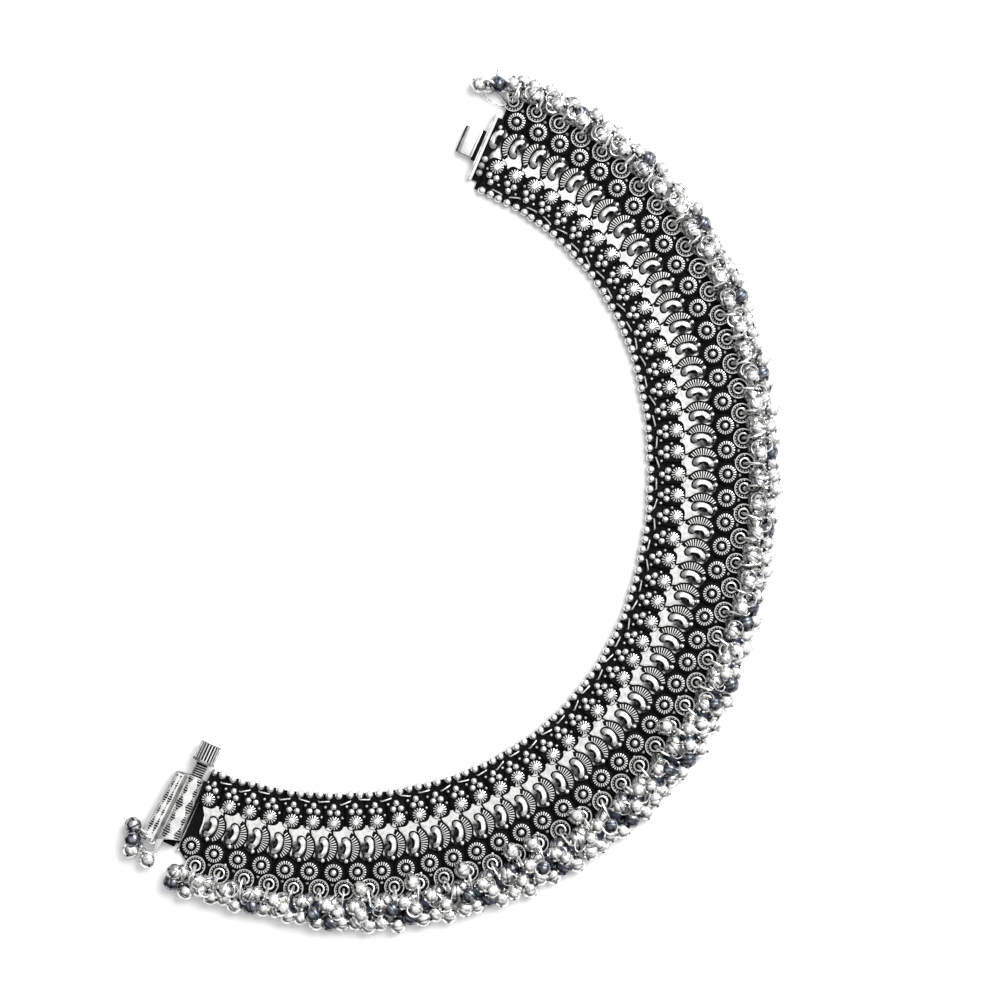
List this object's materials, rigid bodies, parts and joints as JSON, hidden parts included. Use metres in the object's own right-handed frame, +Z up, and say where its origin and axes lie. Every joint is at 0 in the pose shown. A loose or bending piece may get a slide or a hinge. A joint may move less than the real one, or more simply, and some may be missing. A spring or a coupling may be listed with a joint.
{
  "type": "anklet",
  "caption": "Open silver anklet lying flat: cast links with grains, mango leaves, ribbed discs and eyelets hung with round bells, a tongue at one end and a screw clasp at the other.",
  "frame": {"origin": "middle of the anklet's box, on the surface it lies on", "axes": "+Z up from the surface, +Y along the longest side of the open C, from the clasp end towards the tongue end"},
  "size_m": [0.158, 0.206, 0.0054],
  "materials": {
    "oxidised_silver": "cast silver, polished on the high points and blackened in the recesses",
    "bell_silver": "polished silver with dark tarnish in the slits",
    "clasp_silver": "bright silver, engraved and darkened in the cuts",
    "screw_silver": "ribbed head and dark thread"
  },
  "bodies": {
    "band": {"link_chain_upper": "oxidised_silver", "link_chain_lower": "oxidised_silver", "bell_fringe_upper": "bell_silver", "bell_fringe_lower": "bell_silver", "tongue_bar": "clasp_silver", "clasp_box": "clasp_silver", "clasp_bells": "bell_silver"},
    "screw": {"clasp_screw": "screw_silver"}
  },
  "joints": [
    {"name": "screw_slide", "type": "slide", "parent": "band", "child": "screw", "axis": [0.422, 0.9066, 0], "range_m": [-0.0036, 0.008]}
  ]
}
